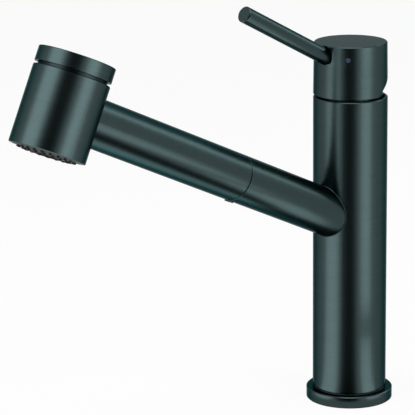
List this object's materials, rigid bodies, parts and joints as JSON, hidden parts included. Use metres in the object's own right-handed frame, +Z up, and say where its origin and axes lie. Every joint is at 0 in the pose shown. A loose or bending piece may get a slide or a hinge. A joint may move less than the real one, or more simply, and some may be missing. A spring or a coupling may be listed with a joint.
{
  "type": "pull down kitchen faucet",
  "caption": "Single-lever kitchen faucet on a round column, with an inclined tubular spout whose spray head pulls out on its hose.",
  "frame": {"origin": "centre of the flange underside, on the deck, on the column axis", "axes": "+Z up along the column, -Y along the spout and lever in plan, +X to the cold side"},
  "size_m": [0.054, 0.2849, 0.3417],
  "materials": {
    "graphite_steel": "satin graphite coating over brushed steel",
    "graphite_metal": "satin graphite coating",
    "brass": "as turned",
    "steel": "bright",
    "black_rubber": "matt",
    "black_plastic": "moulded",
    "white_plastic": "moulded",
    "ceramic": "lapped",
    "cold_mark": "smooth",
    "hot_mark": "smooth",
    "hose_nylon": "braided nylon"
  },
  "bodies": {
    "base": {"deck_flange": "graphite_metal", "deck_gasket": "black_rubber", "mounting_shank": "brass", "under_deck_gasket": "black_rubber", "clamp_washer": "steel", "mounting_nut": "brass", "valve_column": "brass", "lower_glide_ring": "black_plastic", "upper_glide_ring": "black_plastic", "cartridge_base": "white_plastic", "cartridge_seals": "black_rubber", "cartridge_housing": "white_plastic", "fixed_ceramic_disc": "ceramic", "cartridge_nut": "brass", "cartridge_cover": "graphite_metal"},
    "mixer_stem": {"stem_carrier": "white_plastic", "pivot_pin": "steel"},
    "valve_disc": {"moving_ceramic_disc": "ceramic", "disc_driver": "white_plastic"},
    "lever": {"stem_lever": "brass", "lever_cap": "graphite_metal", "lever_rod": "graphite_steel", "grub_screw": "steel", "screw_plug": "black_plastic", "cold_index": "cold_mark", "hot_index": "hot_mark"},
    "spout": {"body_sleeve": "graphite_steel", "spout_tube": "graphite_steel", "docking_bush": "black_plastic", "hose_guide": "black_plastic", "spray_hose": "hose_nylon", "hose_connector": "brass"},
    "spray": {"spray_tube": "graphite_steel", "spray_inlet": "white_plastic", "inlet_seals": "black_rubber", "check_valve": "white_plastic", "hose_ferrule": "steel", "hose_seal": "black_rubber", "hose_nut": "brass", "waterway_tube": "white_plastic", "head_barrel": "graphite_steel", "head_collar": "graphite_metal", "diverter_body": "white_plastic", "collar_seal": "black_rubber", "face_rim_seal": "black_rubber", "spray_face": "black_plastic", "nozzle_mat": "black_rubber", "aerator_housing": "black_plastic", "aerator_mesh": "steel"},
    "mode_button": {"button_cap": "graphite_metal", "button_stem": "steel", "diverter_seal": "black_rubber", "button_spring": "steel"}
  },
  "joints": [
    {"name": "spout_swivel", "type": "hinge", "parent": "base", "child": "spout", "pos_m": [0, 0, 0.1], "axis": [0, 0, 1], "range_deg": [-60, 60]},
    {"name": "spray_pull", "type": "slide", "parent": "spout", "child": "spray", "axis": [0, -0.9085, 0.4179], "range_m": [0, 0.5], "deforming": ["spray_hose"]},
    {"name": "mode_press", "type": "slide", "parent": "spray", "child": "mode_button", "axis": [0, -0.4179, -0.9085], "range_m": [0, 0.0015], "stiffness_N_per_m": 900, "springref_m": -0.003, "deforming": ["button_spring"]},
    {"name": "temperature_turn", "type": "hinge", "parent": "base", "child": "mixer_stem", "pos_m": [0, 0, 0.198], "axis": [0, 0, 1], "range_deg": [-50, 50]},
    {"name": "lever_tilt", "type": "hinge", "parent": "mixer_stem", "child": "lever", "pos_m": [0, 0, 0.198], "axis": [-1, 0, 0], "range_deg": [0, 25]},
    {"name": "disc_slide", "type": "slide", "parent": "mixer_stem", "child": "valve_disc", "axis": [0, -1, 0], "range_m": [0, 0.006]}
  ],
  "couplings": [
    {"joint": "disc_slide", "follows": "lever_tilt", "m_per_rad": 0.01356}
  ]
}
